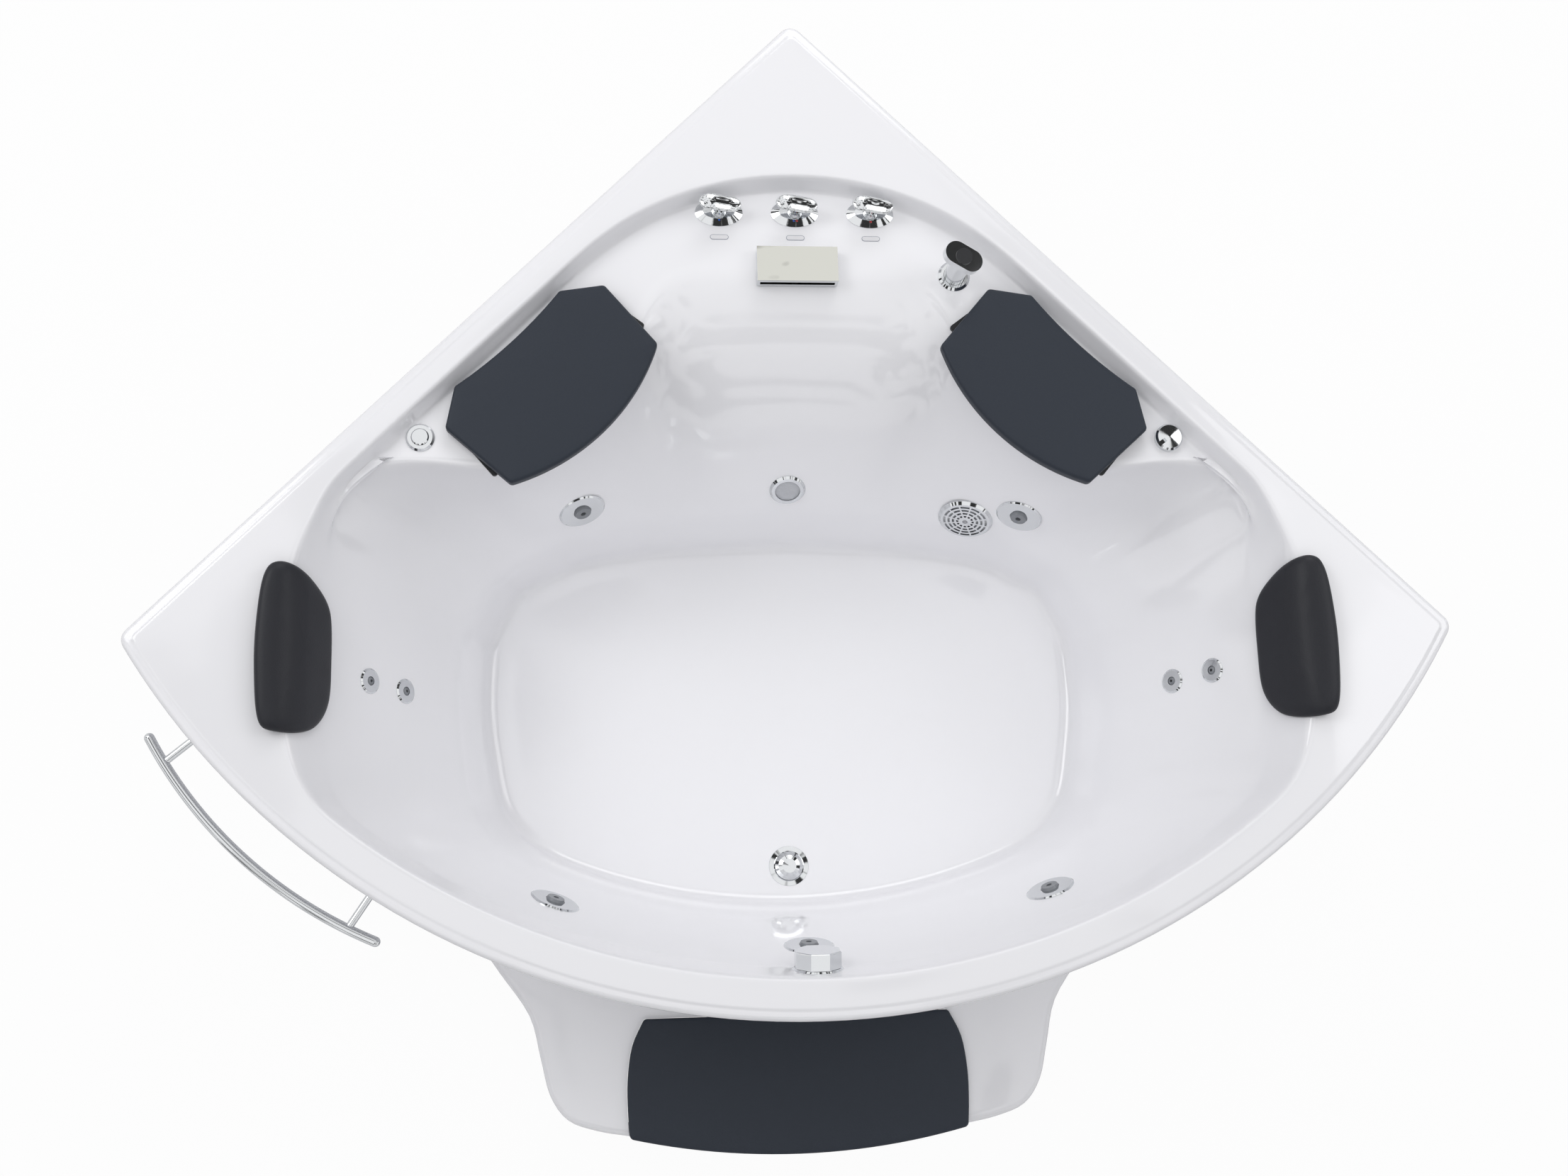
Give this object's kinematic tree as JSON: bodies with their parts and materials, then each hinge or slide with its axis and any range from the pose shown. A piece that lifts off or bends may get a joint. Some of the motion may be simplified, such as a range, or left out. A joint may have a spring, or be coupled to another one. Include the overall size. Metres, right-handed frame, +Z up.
{
  "type": "corner jetted bath",
  "caption": "Corner jetted bath with a curved front apron, front step, deck taps, waterfall spout, hand shower, jets, soft pads and a grab rail.",
  "frame": {"origin": "on the floor, under the middle of the bounding box of the bath with its step", "axes": "+Z up from the floor, +Y from the step towards the corner of the room, +X to the bather's right when facing the corner"},
  "size_m": [2.1096, 1.8754, 0.7047],
  "materials": {
    "acrylic": "high gloss sanitary white",
    "grey_plastic": "matt moulding",
    "white_plastic": "plain pipe",
    "dark_plastic": "matt, near black",
    "nozzle_plastic": "satin grey",
    "chrome": "polished",
    "label_chrome": "polished",
    "mirror_metal": "mirror polished",
    "steel": "brushed",
    "frame_steel": "galvanised grey",
    "brass": "raw casting",
    "rubber": "matt",
    "board": "sealed chipboard",
    "pad_foam": "soft matt foam skin, dark slate",
    "pillow_foam": "soft matt foam skin, near black",
    "lens": "textured clear lens"
  },
  "bodies": {
    "bath": {"air_bodies": "grey_plastic", "bath_shell": "acrylic", "button_ring": "chrome", "button_spring": "steel", "floor_board": "board", "foot_pads": "rubber", "foot_studs": "steel", "frame_bearers": "frame_steel", "frame_legs": "frame_steel", "frame_struts": "frame_steel", "front_apron": "acrylic", "grab_rail": "chrome", "jet_bodies": "grey_plastic", "jet_faces": "chrome", "lamp_housing": "grey_plastic", "lamp_lens": "lens", "lamp_ring": "chrome", "overflow_pipe": "grey_plastic", "overflow_plate": "chrome", "pad_bases": "dark_plastic", "pillow_left": "pillow_foam", "pillow_right": "pillow_foam", "pressure_pipes": "white_plastic", "pump_motor": "dark_plastic", "pump_volute": "grey_plastic", "rail_screws": "steel", "rear_pad_left": "pad_foam", "rear_pad_right": "pad_foam", "shower_holder": "chrome", "small_jet_bodies": "grey_plastic", "small_jet_faces": "chrome", "small_jet_nozzles": "nozzle_plastic", "spout_body": "chrome", "spout_cover": "mirror_metal", "step_body": "acrylic", "step_pad": "pad_foam", "suction_grille": "chrome", "suction_hose": "grey_plastic", "suction_housing": "grey_plastic", "suction_screw": "steel", "tap_labels": "label_chrome", "tap_plates": "chrome", "tap_valves": "brass", "waste_body": "grey_plastic", "waste_flange": "chrome"},
    "knob_cold": {"knob_cold": "chrome"},
    "knob_selector": {"knob_selector": "chrome"},
    "knob_hot": {"knob_hot": "chrome"},
    "hand_shower": {"hand_shower": "chrome", "shower_face": "dark_plastic"},
    "air_knob": {"air_knob": "chrome"},
    "push_button": {"push_button": "chrome"},
    "overflow_knob": {"overflow_knob": "chrome"},
    "waste_plug": {"waste_plug": "chrome"},
    "nozzle_rear_left": {"nozzle_rear_left": "nozzle_plastic"},
    "nozzle_rear_right": {"nozzle_rear_right": "nozzle_plastic"},
    "nozzle_front_left": {"nozzle_front_left": "nozzle_plastic"},
    "nozzle_front_middle": {"nozzle_front_middle": "nozzle_plastic"},
    "nozzle_front_right": {"nozzle_front_right": "nozzle_plastic"}
  },
  "joints": [
    {"name": "turn_cold", "type": "hinge", "parent": "bath", "child": "knob_cold", "pos_m": [-0.128, 0.60823, 0.6142], "axis": [0, 0, 1], "range_deg": [-90, 0]},
    {"name": "turn_selector", "type": "hinge", "parent": "bath", "child": "knob_selector", "pos_m": [0, 0.60823, 0.6142], "axis": [0, 0, 1], "range_deg": [0, 90]},
    {"name": "turn_hot", "type": "hinge", "parent": "bath", "child": "knob_hot", "pos_m": [0.128, 0.60823, 0.6142], "axis": [0, 0, 1], "range_deg": [0, 90]},
    {"name": "pull_hand_shower", "type": "slide", "parent": "bath", "child": "hand_shower", "axis": [0, 0, 1], "range_m": [0, 0.15]},
    {"name": "turn_air_knob", "type": "hinge", "parent": "bath", "child": "air_knob", "pos_m": [0.615, 0.21223, 0.6142], "axis": [0, 0, 1], "range_deg": [0, 180]},
    {"name": "press_button", "type": "slide", "parent": "bath", "child": "push_button", "axis": [0, 0, -1], "range_m": [0, 0.004], "stiffness_N_per_m": 400, "deforming": ["button_spring"]},
    {"name": "turn_overflow_knob", "type": "hinge", "parent": "bath", "child": "overflow_knob", "pos_m": [0, -0.63674, 0.58981], "axis": [0, 0.9727, 0.2319], "range_deg": [0, 90]},
    {"name": "lift_plug", "type": "slide", "parent": "bath", "child": "waste_plug", "axis": [0, 0, 1], "range_m": [0, 0.0105]},
    {"name": "aim_rear_left", "type": "hinge", "parent": "bath", "child": "nozzle_rear_left", "pos_m": [-0.36563, 0.14959, 0.39307], "axis": [0.9438, 0.3306, 0], "range_deg": [-12, 12]},
    {"name": "aim_rear_right", "type": "hinge", "parent": "bath", "child": "nozzle_rear_right", "pos_m": [0.40682, 0.13714, 0.40106], "axis": [0.9283, -0.3718, 0], "range_deg": [-12, 12]},
    {"name": "aim_front_left", "type": "hinge", "parent": "bath", "child": "nozzle_front_left", "pos_m": [-0.40654, -0.5172, 0.46006], "axis": [-0.9321, 0.3622, 0], "range_deg": [-12, 12]},
    {"name": "aim_front_middle", "type": "hinge", "parent": "bath", "child": "nozzle_front_middle", "pos_m": [0, -0.5988, 0.47506], "axis": [-1, 0, 0], "range_deg": [-12, 12]},
    {"name": "aim_front_right", "type": "hinge", "parent": "bath", "child": "nozzle_front_right", "pos_m": [0.40654, -0.5172, 0.46006], "axis": [-0.9321, -0.3622, 0], "range_deg": [-12, 12]}
  ],
  "couplings": [
    {"joint": "lift_plug", "follows": "turn_overflow_knob", "m_per_rad": 0.006366}
  ]
}
